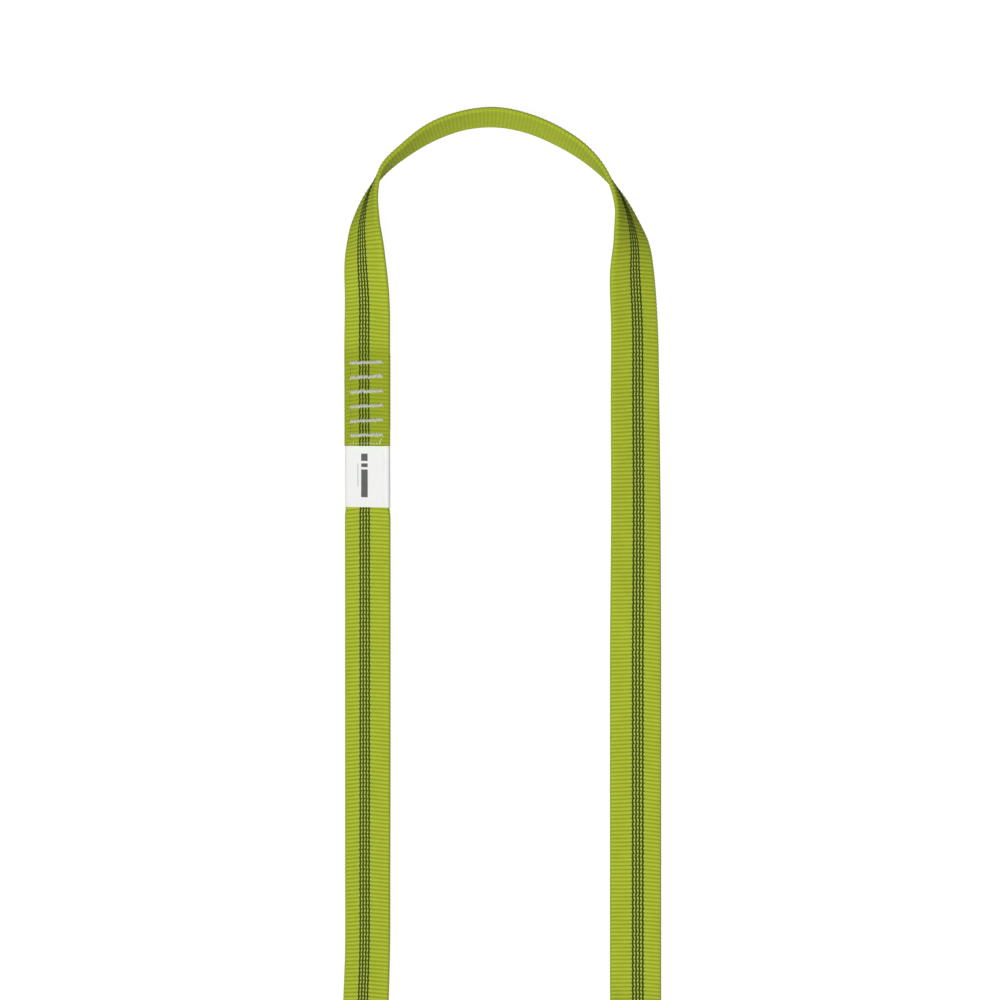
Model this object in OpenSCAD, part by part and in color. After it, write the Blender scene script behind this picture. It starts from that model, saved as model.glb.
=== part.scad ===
// Sewn loop sling of flat tubular webbing, lying as it falls on a table: the two legs lie flat or
// nearly flat, and at each end the web stands on its edge and turns through half a circle.
// Millimetres. +Z up, +Y along the legs towards the upper bight, origin on the table at the middle.

/* [Sling] */
// Inside length of the loop when it is pulled flat
loop_length = 600; // [500:10:1200]
// Distance between the centre lines of the two legs as they lie
leg_spacing = 130; // [100:5:180]

/* [Webbing] */
// Width of the flattened tube
web_w = 25; // [20:0.5:32]
// Thickness of the flattened tube, both walls
web_t = 2.4; // [1.8:0.1:3.2]
// Height of the bore left between the two walls
bore_h = 0.3; // [0.1:0.05:0.6]

/* [Marker threads] */
// Number of dark threads woven into the outer face
marker_count = 4; // [1:1:6]
// Distance between neighbouring marker threads
marker_pitch = 1.6; // [1.2:0.1:2.4]
// Width of one marker thread
marker_w = 0.9; // [0.5:0.05:1.1]
// Shift of the threads from the middle of the web towards its lower edge
marker_shift = 1; // [0:0.1:3]

/* [Seam] */
// Length over which the two ends of the web lie on each other
overlap = 44; // [38:1:60]
// Distance of the front ply's cut end below the centre of the upper bight
seam_drop = 95; // [90:1:110]
// Number of bar tacks
tack_count = 6; // [2:1:6]
// Distance of a bar tack's ends from the web's edges
tack_margin = 3.3; // [3:0.1:6]
// Width of a bar tack along the web
tack_w = 2.2; // [1.2:0.1:3]
// Distance between neighbouring bar tacks
tack_pitch = 7; // [5:0.1:7.4]
// Distance from the front ply's cut end to the first bar tack
tack_start = 5.4; // [4.4:0.1:7]
// Thickness of the sewing thread
thread_d = 0.6; // [0.3:0.05:0.8]

/* [Label] */
// Length of the label that shows below the seam
label_len = 29.5; // [20:0.5:40]
// Thickness of the label's cloth
label_t = 0.25; // [0.2:0.05:0.5]
// How much narrower the tight sleeve holds the web
label_squeeze = 1; // [0:0.1:1.5]

/* [Hidden] */

// Stitching and cloth details
marker_proud = 0.15;      // how far a marker thread stands out of the face
marker_sunk = 0.2;        // how far it is woven into the face
thread_proud = 0.45;      // how far a bar tack stands out of the face
thread_sunk = 0.15;       // how far it is pulled into the face
tack_teeth = 12;          // zigzags of a bar tack
tack_leg_count = 4;       // places where a tack's threads pass through the web
row_at = 1.5;             // end row, from the front ply's cut end
row_w = 1.6;              // width of the end row along the web
row_teeth = 5;            // zigzags of the end row
jump_d = 0.4;             // thickness of the thread carried from one tack to the next
jump_inset = 0.6;         // its distance in from the tacks' ends
label_tuck = 4;           // length of the label between the two plies
label_clear = 0.02;       // gap between the label and the threads it lies on
label_side_clear = 0.05;  // gap between the label and the web's edges and back
ply_slack = 0.13;         // what is left between the label and the front ply
label_stitch_d = 0.35;    // thickness of the label's edge stitches
label_stitch_len = 0.7;   // length of one of them
label_stitch_pitch = 1.1; // distance from one to the next
squeeze_len = 5;          // length over which the web widens again past the label
label_stitch_inset = 1.3; // their distance in from the web's upper edge

// Distance between the plies' facing sides: room for the label and its clearances
ply_gap = marker_proud + label_clear + label_t + ply_slack;
ply_step = web_t + ply_gap;
step_start = overlap + 2;  // the front ply starts to come down just past the back ply's end
step_len = 26;             // and is down after this length
wall = (web_t - bore_h) / 2;
tack_len = web_w - 2 * tack_margin;
flat_half = (web_w - web_t) / 2;

// Length of the web's centre line round the loop
circumference = 2 * loop_length + PI * web_t;

// ---- Route of the web ---------------------------------------------------------------------
// Each point is [x, y, roll, lift]: x and y of the centre line, the web's roll about it in degrees
// (0 lies flat with the marked face up, 90 stands on its lower edge with that face outwards), and
// the height of the lower edge over the table. The points run clockwise as seen from above. Those
// of a bight are measured from the bight's centre, for a leg spacing of 130 and a web 25 wide.
route_spacing = 130;
route_web_w = 25;
upper_bight = [
    [-65, -25, 29, 6], [-66, -2, 40, 7], [-65.9, 12, 56, 4], [-63.1, 26.5, 76, 0.8],
    [-57.8, 37.5, 90, 0], [-46.3, 48.2, 96, 0], [-33.8, 56.5, 101, 0], [-18, 62.2, 102, 0],
    [-3, 63.6, 103, 0], [12, 60.8, 102, 0], [27, 54.5, 101, 0], [38.6, 47.2, 98, 0],
    [47.4, 39, 92, 0], [54.5, 29, 82, 0.3], [59.3, 17.8, 69, 1.5], [62.1, 4, 48, 5],
    [62.8, -12, 30, 6], [64, -35, 23, 5], [64.5, -75, 17, 3],
];
lower_bight = [
    [65, 40, 1, 0], [65, 20, 12, 1.5], [65, 4, 32, 3.5], [63.5, -10, 55, 3],
    [59, -26, 76, 0.8], [50, -40, 89, 0], [37, -52, 97, 0], [20, -60.5, 101, 0],
    [0, -64, 103, 0], [-20, -61, 101, 0], [-38, -52.5, 97, 0], [-52, -41, 88, 0],
    [-61.5, -27, 75, 0.9], [-66, -11, 55, 4], [-66.5, 3, 39, 6.5], [-66, 25, 29, 6],
];
// Leg points keep their distance from the bight above or below them
right_leg_upper = [[65, -125, 13, 1], [65, -175, 6, 0.2], [65, -200, 0, 0], [65, -210, 0, 0]];
right_leg_lower = [[65, 70, 0, 0], [65, 60, 0, 0]];
left_leg_lower = [[-65, 60, 28, 3], [-65, 100, 27, 1]];
seam_roll = 26;
seam_lift = 2.1;
seam_slope = 0.03;

spread = leg_spacing / route_spacing;
function placed(points, centre_y) =
    [for (p = points) [p.x * spread, p.y * spread + centre_y, p[2], p[3] * web_w / route_web_w]];
function seam_point(half, drop) =
    [-leg_spacing / 2, half - drop, seam_roll, seam_lift + seam_slope * (seam_drop - drop)];
function route(half) = concat(
    [for (back = [0, 24, 48]) seam_point(half, seam_drop - back)],
    placed(upper_bight, half),
    placed(right_leg_upper, half),
    placed(right_leg_lower, -half),
    placed(lower_bight, -half),
    placed(left_leg_lower, -half),
    [for (back = [-45, -25]) seam_point(half, seam_drop - back)]
);

// Smooth closed curve through the points: cubic pieces whose slope at a point is that of the
// parabola through it and its two neighbours. Long pieces get more steps.
sample_step = 8;
function plan_gap(a, b) = norm([b.x - a.x, b.y - a.y]);
function cubic(a, slope_a, b, slope_b, gap, t) =
    (2 * t^3 - 3 * t^2 + 1) * a + (t^3 - 2 * t^2 + t) * gap * slope_a
    + (3 * t^2 - 2 * t^3) * b + (t^3 - t^2) * gap * slope_b;
function smooth(points) =
    let (n = len(points),
         gap = [for (i = [0:n - 1]) plan_gap(points[i], points[(i + 1) % n])],
         chord = [for (i = [0:n - 1]) (points[(i + 1) % n] - points[i]) / gap[i]],
         slope = [for (i = [0:n - 1]) let (j = (i + n - 1) % n)
             (chord[j] * gap[i] + chord[i] * gap[j]) / (gap[i] + gap[j])])
    [for (i = [0:n - 1]) let (k = (i + 1) % n, steps = max(2, round(gap[i] / sample_step / 2)))
        for (s = [0:steps - 1]) cubic(points[i], slope[i], points[k], slope[k], gap[i], s / steps)];
// A sample's centre height follows from its roll: the lower edge sits at the lift. Neither may
// swing below zero where the curve settles onto the table.
function raised(p) =
    let (roll = max(p[2], 0)) [p.x, p.y, max(p[3], 0) + flat_half * sin(roll) + web_t / 2, roll];
function centre_line(half) = [for (p = smooth(route(half))) raised(p)];
function point3(p) = [p.x, p.y, p.z];
function running_length(points) =
    let (n = len(points))
    [for (i = 0, s = 0; i <= n;
          s = s + norm(point3(points[(i + 1) % n]) - point3(points[i % n])), i = i + 1) s];
function closed_length(points) = let (s = running_length(points)) s[len(points)];

// Half the distance between the bights' centres, so that the loop has its length
trial_half = (loop_length - leg_spacing) / 2;
half_y = trial_half + (circumference - closed_length(centre_line(trial_half))) / 4;
line = centre_line(half_y);
stations = running_length(line);
loop_len = stations[len(line)];
table = [for (k = [0:3]) [for (i = [0:len(line)]) [stations[i], line[i % len(line)][k]]]];

// ---- The web's own frame ------------------------------------------------------------------
// Distance s runs along the web from the front ply's cut end; u runs across it, from the lower
// edge to the upper edge, and v stands out of the marked face.
function wrap(s) = s - loop_len * floor(s / loop_len);
function centre_at(s) = [for (k = [0:2]) lookup(wrap(s), table[k])];
function roll_at(s) = lookup(wrap(s), table[3]);
function unit(a) = a / norm(a);
function along_at(s) = unit(centre_at(s + 1) - centre_at(s - 1));
function across_at(s) =
    let (along = along_at(s), roll = roll_at(s),
         inward = unit([along.y, -along.x, 0]),
         w = cos(roll) * inward + [0, 0, sin(roll)])
    unit(w - (w * along) * along);
// The front ply lies on the back ply over the overlap, lifted straight up, then comes down
// smoothly. The back ply's own distances are past loop_len, where the rise is zero.
function ease(t) = let (c = min(max(t, 0), 1)) c * c * (3 - 2 * c);
function rise_at(s) =
    let (part = 1 - ease((s - step_start) / step_len))
    part > 0 ? [0, 0, ply_step * part / cos(roll_at(s))] : [0, 0, 0];
// Share of its width that the web keeps inside the label's tight sleeve and just past it
function squeezed_at(s) =
    1 - label_squeeze / web_w
        * (ease((s - label_from) / squeeze_len + 1) - ease((s - label_to) / squeeze_len));
function web_frame(s) =
    let (along = along_at(s), across = across_at(s)) [centre_at(s), across, along, cross(across, along)];
function on_frame(f, u, v) = f[0] + u * f[1] + v * f[3];

module at_web(s) {
    f = web_frame(s);
    multmatrix([for (k = [0:2]) [f[1][k], f[2][k], f[3][k], f[0][k]]]) children();
}

// Places of the web's rings: closer over the step, then at the curve's own samples
label_from = loop_len - label_len;
label_to = loop_len + label_tuck;
ring_s = concat(
    [for (k = [0:4]) overlap * k / 4],
    [for (k = [0:3]) step_start + step_len * (k + 0.25) / 3.5],
    [for (s = stations) if (s > step_start + step_len + 2 && s < label_from - squeeze_len - 2) s],
    [for (k = [0:4]) label_from - squeeze_len * (1 - k / 4)],
    [label_from + label_len / 2],
    [for (k = [0:4]) label_to + squeeze_len * k / 4],
    [for (k = [1:4]) label_to + squeeze_len + (overlap - label_tuck - squeeze_len) * k / 4]
);

// ---- Sweeps -------------------------------------------------------------------------------
// Flat bar with half-round edges, as 12 points
function flat_oval(w, t) = concat(
    [for (a = [-90:45:90]) [(w - t) / 2 + t / 2 * cos(a), t / 2 * sin(a)]],
    [[0, t / 2]],
    [for (a = [90:45:270]) [-(w - t) / 2 + t / 2 * cos(a), t / 2 * sin(a)]],
    [[0, -t / 2]]
);
function ring_points(s, profile) =
    let (f = web_frame(s), rise = rise_at(s)) [for (p = profile) on_frame(f, p.x, p.y) + rise];
function narrowed(s, profile) = let (keep = squeezed_at(s)) [for (p = profile) [p.x * keep, p.y]];
// Two triangles for each side of a strip of k-sided rings; flip turns the strip inside out
function strip_faces(k, rings, first, stride, flip) = [
    for (r = [0:rings - 2], i = [0:k - 1])
        let (a = first + r * stride + i, b = first + r * stride + (i + 1) % k,
             c = a + stride, d = b + stride)
        each flip ? [[a, d, b], [a, c, d]] : [[a, b, d], [a, d, c]]
];
function fan_faces(k, first, flip) =
    [for (i = [1:k - 2]) flip ? [first, first + i + 1, first + i] : [first, first + i, first + i + 1]];
function collar_faces(k, outer, inner, flip) = [
    for (i = [0:k - 1])
        let (j = (i + 1) % k, a = outer + i, b = outer + j, c = inner + i, d = inner + j)
        each flip ? [[a, d, b], [a, c, d]] : [[a, b, d], [a, d, c]]
];

// A solid bar of the given section woven along the web
module sweep_bar(profile, places) {
    k = len(profile);
    n = len(places);
    points = [for (s = places) each ring_points(s, narrowed(s, profile))];
    polyhedron(points, concat(
        strip_faces(k, n, 0, k, true),
        fan_faces(k, 0, false),
        fan_faces(k, (n - 1) * k, true)
    ), convexity = 8);
}

// A tube, open at both ends, from pairs of sections with the same number of points
module sweep_tube(sections, places) {
    k = len(sections[0][0]);
    n = len(places);
    points = [for (i = [0:n - 1], section = sections[i]) each ring_points(places[i], section)];
    last = (n - 1) * 2 * k;
    polyhedron(points, concat(
        strip_faces(k, n, 0, 2 * k, true),
        strip_faces(k, n, k, 2 * k, false),
        collar_faces(k, 0, k, false),
        collar_faces(k, last, last + k, true)
    ), convexity = 8);
}

// ---- Pieces -------------------------------------------------------------------------------
// One length of tubular web, pressed flat, with its two ends lying on each other
module webbing() {
    outer = flat_oval(web_w, web_t);
    bore = flat_oval(web_w - 2 * wall, bore_h);
    color("yellowgreen")
        sweep_tube([for (s = ring_s) [narrowed(s, outer), narrowed(s, bore)]], ring_s);
}

// Dark thread number i, woven into the outer face over the web's whole length
module marker_thread(i) {
    u = -marker_shift + (i - (marker_count + 1) / 2) * marker_pitch;
    low = web_t / 2 - marker_sunk;
    high = web_t / 2 + marker_proud;
    profile = [[u - marker_w / 2, low], [u + marker_w / 2, low],
               [u + marker_w / 2, high], [u - marker_w / 2, high]];
    color("darkolivegreen") sweep_bar(profile, ring_s);
}

// Outline of a close zigzag of thread: a bar whose two long sides are toothed in turn
function tooth_x(length, teeth, i) = -length / 2 + thread_d / 2 + (length - thread_d) * i / (2 * teeth);
module zigzag(length, width, teeth) {
    tip = thread_d / 2;
    notch = width * 0.3;
    polygon(concat(
        [for (i = [0:2 * teeth]) let (x = tooth_x(length, teeth, i))
            each i % 2 == 0 ? [[x - tip, -width / 2], [x + tip, -width / 2]] : [[x, notch - width / 2]]],
        [for (i = [2 * teeth:-1:0]) let (x = tooth_x(length, teeth, i))
            each i % 2 == 1 ? [[x + tip, width / 2], [x - tip, width / 2]] : [[x, width / 2 - notch]]]
    ));
}

// One side of a lockstitch: the zigzag on the face at height `face`, facing `side`, and its legs
// down to the middle of the plies, where they hook round the other side's legs
module lockstitch(length, width, teeth, legs, face, side) {
    leg_d = thread_d * 0.8;
    low = side > 0 ? face - thread_sunk : face - thread_proud;
    leg_end = face + side * (thread_proud - thread_sunk) / 2;
    middle = ply_step / 2;
    translate([0, 0, low])
        linear_extrude(thread_sunk + thread_proud) zigzag(length, width, teeth);
    for (i = [0:legs - 1])
        translate([tooth_x(length, teeth, 2 + 2 * round(i * (teeth - 2) / (legs - 1))), 0, min(leg_end, middle)])
            cylinder(h = abs(leg_end - middle), d = leg_d, $fn = 24);
}

// The plies lie straight above each other, so the front one is shifted up the slope. The seam is
// sewn square to the web, in the middle of the front ply.
seam_shift = ply_step * tan(seam_roll);
module at_seam(s) { at_web(s) translate([seam_shift, 0, 0]) children(); }
front_face = ply_step + web_t / 2;
back_face = -web_t / 2;
function tack_s(i) = tack_start + (i - 1) * tack_pitch;

// Needle thread of bar tack number i, on the front ply
module bar_tack_needle(i) {
    color("gainsboro") at_seam(tack_s(i))
        lockstitch(tack_len, tack_w, tack_teeth, tack_leg_count, front_face, 1);
}

// Bobbin thread of bar tack number i, on the back ply's underside
module bar_tack_bobbin(i) {
    color("silver") at_seam(tack_s(i))
        lockstitch(tack_len, tack_w, tack_teeth, tack_leg_count, back_face, -1);
}

// Row of stitches that holds the front ply's end and the label's top
module end_row_needle() {
    color("gainsboro") at_seam(row_at)
        lockstitch(tack_len, row_w, row_teeth, tack_leg_count, front_face, 1);
}

module end_row_bobbin() {
    color("silver") at_seam(row_at)
        lockstitch(tack_len, row_w, row_teeth, tack_leg_count, label_back_face, -1);
}

// Thread carried over from each tack to the next, lying on the front ply
module jump_threads() {
    u = -tack_len / 2 + jump_inset;
    color("lightgray") for (i = [1:tack_count]) {
        from = i == 1 ? row_at + row_w / 2 : tack_s(i - 1) + tack_w / 2;
        to = tack_s(i) - tack_w / 2;
        at_seam((from + to) / 2) translate([u, -(to - from) / 2, front_face + jump_d / 2])
            rotate([-90, 0, 0]) cylinder(h = to - from, d = jump_d, $fn = 16);
    }
}

// Sleeve of white cloth round the back ply, with its top tucked between the plies
label_in_w = web_w - label_squeeze + 2 * label_side_clear;
label_in_front = web_t / 2 + marker_proud + label_clear;
label_in_back = -web_t / 2 - label_side_clear;
label_out_front = label_in_front + label_t;
label_back_face = label_in_back - label_t;
function sleeve(grow) =
    let (high = label_in_front + grow, low = label_in_back - grow,
         t = high - low, w = label_in_w + 2 * grow, mid = (high + low) / 2)
    [for (p = flat_oval(w, t)) [p.x, p.y + mid]];
module label() {
    places = [for (k = [0:6]) label_from + (label_to - label_from) * k / 6];
    color("white") sweep_tube([for (s = places) [sleeve(label_t), sleeve(0)]], places);
}

// Short stitches that close the sleeve along the web's upper edge
module label_edge_stitches() {
    u = (label_in_w - web_t) / 2 - label_stitch_inset + label_stitch_d;
    count = floor((label_len - label_stitch_pitch) / label_stitch_pitch);
    color("whitesmoke") for (i = [0:count - 1])
        at_web(label_from + label_stitch_pitch * (i + 0.8))
            translate([u, 0, label_out_front]) rotate([-90, 0, 0])
                cylinder(h = label_stitch_len, d = label_stitch_d, $fn = 16, center = true);
}

webbing();
for (i = [1:marker_count])
    marker_thread(i);
for (i = [1:tack_count]) {
    bar_tack_needle(i);
    bar_tack_bobbin(i);
}
end_row_needle();  // end_row_needle_thread
end_row_bobbin();  // end_row_bobbin_thread
jump_threads();
label();
label_edge_stitches();
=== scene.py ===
"""Sewn loop sling of flat tubular webbing, lying as it falls on a table. Metres, +Z up, +Y along the legs."""

import math

import bpy
import numpy as np
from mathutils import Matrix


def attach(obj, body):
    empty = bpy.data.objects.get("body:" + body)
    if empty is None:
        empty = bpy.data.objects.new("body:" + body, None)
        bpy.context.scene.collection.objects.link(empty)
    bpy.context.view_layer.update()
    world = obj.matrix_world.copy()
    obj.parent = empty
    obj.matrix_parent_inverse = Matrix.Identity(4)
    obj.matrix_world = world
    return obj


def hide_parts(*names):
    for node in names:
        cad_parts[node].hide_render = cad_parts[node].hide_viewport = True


bl_info = {
    "name": "Flat web sling",
    "version": (1, 0, 0),
    "blender": (4, 5, 0),
    "location": "3D View > Sidebar > Sling",
    "description": "Builds a sewn loop sling of flat tubular webbing over its fixed frame",
    "category": "Add Mesh",
}

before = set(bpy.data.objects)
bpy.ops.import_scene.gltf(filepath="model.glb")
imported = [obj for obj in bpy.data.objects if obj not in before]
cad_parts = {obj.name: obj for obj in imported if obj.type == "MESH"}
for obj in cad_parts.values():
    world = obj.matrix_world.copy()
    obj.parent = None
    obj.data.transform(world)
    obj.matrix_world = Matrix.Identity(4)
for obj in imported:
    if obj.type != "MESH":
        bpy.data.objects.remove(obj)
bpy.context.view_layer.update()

MM = 0.001


def linear(red, green, blue):
    """A colour written as 0 to 255 screen values, as the linear values that materials use."""
    share = np.array([red, green, blue]) / 255
    return tuple(np.where(share <= 0.04045, share / 12.92, ((share + 0.055) / 1.055) ** 2.4).tolist())


# ---- Settings -----------------------------------------------------------------------------


def size(name, description, default):
    """A length setting."""
    return bpy.props.FloatProperty(name=name, description=description, default=default, unit="LENGTH")


class SlingSizes(bpy.types.PropertyGroup):
    """Sizes of the loop as it lies."""

    loop_length: size("Loop length", "Inside length of the loop when it is pulled flat", 0.6)
    leg_spacing: size("Leg spacing", "Distance between the centre lines of the two legs as they lie", 0.13)


class WebbingSizes(bpy.types.PropertyGroup):
    """Sizes of the web and of the threads woven into it."""

    width: size("Width", "Width of the flattened tube", 0.025)
    thickness: size("Thickness", "Thickness of both walls together", 0.0024)
    bore: size("Bore", "Height of the bore left between the two walls", 0.0003)
    rib_pitch: size("Rib pitch", "Distance from one rib to the next along the web", 0.0019)
    rib_depth: size("Rib depth", "Height of a rib's crest over its valley", 0.00026)
    marker_count: bpy.props.IntProperty(
        name="Marker threads", description="Number of dark threads in the outer face", default=4
    )
    marker_pitch: size("Marker pitch", "Distance between neighbouring dark threads", 0.0016)
    marker_width: size("Marker width", "Width of one dark thread", 0.0009)
    marker_shift: size(
        "Marker shift", "Shift of the dark threads from the middle of the web towards its lower edge", 0.001
    )


class SeamSizes(bpy.types.PropertyGroup):
    """Sizes of the sewn overlap."""

    overlap: size("Overlap", "Length over which the two ends lie on each other", 0.044)
    tack_count: bpy.props.IntProperty(name="Bar tacks", description="Number of bar tacks", default=6)
    tack_length: size("Tack length", "Length of a bar tack across the web", 0.0184)
    tack_width: size("Tack width", "Width of a bar tack along the web", 0.0022)
    tack_pitch: size("Tack pitch", "Distance between neighbouring bar tacks", 0.007)
    tack_start: size("First tack", "Distance of the first tack from the front ply's end", 0.0054)
    tack_stitches: bpy.props.IntProperty(
        name="Stitches of a tack", description="Number of zigzag stitches in one bar tack", default=28
    )
    thread: size("Thread", "Thickness of the sewing thread", 0.00055)


class LabelSizes(bpy.types.PropertyGroup):
    """Sizes of the cloth sleeve below the seam."""

    length: size("Length", "Length of the label that shows", 0.0295)
    thickness: size("Thickness", "Thickness of the label's cloth", 0.00025)
    squeeze: size("Squeeze", "How much narrower the tight sleeve holds the web", 0.001)
    tuck: size("Tuck", "Length of the label between the two plies", 0.004)


def colour(name, description, value):
    """A colour setting."""
    return bpy.props.FloatVectorProperty(
        name=name, description=description, default=value, subtype="COLOR", size=3, min=0.0, max=1.0
    )


class SlingColours(bpy.types.PropertyGroup):
    """Colours of the cloth and threads."""

    crest: colour("Rib crest", "Colour of the web on a rib's crest", linear(177, 192, 61))
    # The valley colour is darker than the crest partly in the yarn's own colour and partly as painted shade
    # in the rib valleys.
    valley: colour("Rib valley", "Colour of the web between two ribs", linear(146, 161, 33))
    float_spot: colour(
        "Light spots", "Colour of the light yarn between the dark threads", linear(200, 211, 118)
    )
    marker: colour("Marker threads", "Colour of the dark threads", linear(68, 85, 23))
    needle: colour("Needle thread", "Colour of the sewing thread on the front", linear(231, 234, 214))
    # Painted shade: the carried thread's dark olive colour stands for the shade it lies sunk in between the
    # ribs.
    carried: colour(
        "Carried thread", "Colour of the thread that lies sunk between the ribs", linear(140, 152, 70)
    )
    bobbin: colour("Bobbin thread", "Colour of the sewing thread on the back", linear(206, 209, 192))
    label: colour("Label", "Colour of the label's cloth", linear(246, 247, 245))
    print_ink: colour("Print", "Colour of the plain bars on the label", linear(62, 64, 64))


# ---- Route of the web ---------------------------------------------------------------------
# Each row is x and y of the centre line, the web's roll about it in degrees (0 lies flat with the
# marked face up, 90 stands on its lower edge with that face outwards), and the height of the lower
# edge over the table. The rows run clockwise as seen from above. Those of a bight are measured
# from the bight's centre, for legs 0.130 apart and a web 0.025 wide.

ROUTE_SPACING = 0.130
ROUTE_WEB_WIDTH = 0.025
UPPER_BIGHT = np.array([
    [-0.065, -0.025, 29, 0.006],
    [-0.066, -0.002, 40, 0.007],
    [-0.0659, 0.012, 56, 0.004],
    [-0.0631, 0.0265, 76, 0.0008],
    [-0.0578, 0.0375, 90, 0],
    [-0.0463, 0.0482, 96, 0],
    [-0.0338, 0.0565, 101, 0],
    [-0.018, 0.0622, 102, 0],
    [-0.003, 0.0636, 103, 0],
    [0.012, 0.0608, 102, 0],
    [0.027, 0.0545, 101, 0],
    [0.0386, 0.0472, 98, 0],
    [0.0474, 0.039, 92, 0],
    [0.0545, 0.029, 82, 0.0003],
    [0.0593, 0.0178, 69, 0.0015],
    [0.0621, 0.004, 48, 0.005],
    [0.0628, -0.012, 30, 0.006],
    [0.064, -0.035, 23, 0.005],
    [0.0645, -0.075, 17, 0.003],
])
LOWER_BIGHT = np.array([
    [0.065, 0.040, 1, 0],
    [0.065, 0.020, 12, 0.0015],
    [0.065, 0.004, 32, 0.0035],
    [0.0635, -0.010, 55, 0.003],
    [0.059, -0.026, 76, 0.0008],
    [0.050, -0.040, 89, 0],
    [0.037, -0.052, 97, 0],
    [0.020, -0.0605, 101, 0],
    [0, -0.064, 103, 0],
    [-0.020, -0.061, 101, 0],
    [-0.038, -0.0525, 97, 0],
    [-0.052, -0.041, 88, 0],
    [-0.0615, -0.027, 75, 0.0009],
    [-0.066, -0.011, 55, 0.004],
    [-0.0665, 0.003, 39, 0.0065],
    [-0.066, 0.025, 29, 0.006],
])
RIGHT_LEG_UPPER = np.array([
    [0.065, -0.125, 13, 0.001],
    [0.065, -0.175, 6, 0.0002],
    [0.065, -0.200, 0, 0],
    [0.065, -0.210, 0, 0],
])
RIGHT_LEG_LOWER = np.array([[0.065, 0.070, 0, 0], [0.065, 0.060, 0, 0]])
LEFT_LEG_LOWER = np.array([[-0.065, 0.060, 28, 0.003], [-0.065, 0.100, 27, 0.001]])
SEAM_DROP = 0.095
SEAM_ROLL = 26
SEAM_LIFT = 0.0021
SEAM_SLOPE = 0.03
SEAM_BEFORE = (-0.045, -0.025)
SEAM_AFTER = (0, 0.024, 0.048)
ROUTE_STEPS = 160

PLY_GAP = 0.00055
STEP_PAST_OVERLAP = 0.002
STEP_LENGTH = 0.026
SQUEEZE_LENGTH = 0.005


def unit(vectors):
    """Vectors divided by their own length."""
    return vectors / np.linalg.norm(vectors, axis=-1, keepdims=True)


def ease(value):
    """Smooth step from 0 to 1: 3t^2 - 2t^3, flat outside that range."""
    t = np.clip(value, 0, 1)
    return t * t * (3 - 2 * t)


def smooth_closed(points, steps):
    """Closed curve through the rows of points. Between rows a and b, each value is the cubic
    (2t^3-3t^2+1)a + (t^3-2t^2+t)h*A + (3t^2-2t^3)b + (t^3-t^2)h*B, with h their distance in plan
    and A, B the slopes there, each that of the parabola through a row and its two neighbours."""
    after = np.roll(points, -1, axis=0)
    gap = np.linalg.norm((after - points)[:, :2], axis=1)[:, None]
    chord = (after - points) / gap
    gap_before = np.roll(gap, 1, axis=0)
    slope = (np.roll(chord, 1, axis=0) * gap + chord * gap_before) / (gap + gap_before)
    t = (np.arange(steps) / steps)[None, :, None]
    curve = (
        (2 * t**3 - 3 * t**2 + 1) * points[:, None]
        + (t**3 - 2 * t**2 + t) * (gap * slope)[:, None]
        + (3 * t**2 - 2 * t**3) * after[:, None]
        + (t**3 - t**2) * (gap * np.roll(slope, -1, axis=0))[:, None]
    )
    return curve.reshape(-1, points.shape[1])


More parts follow.
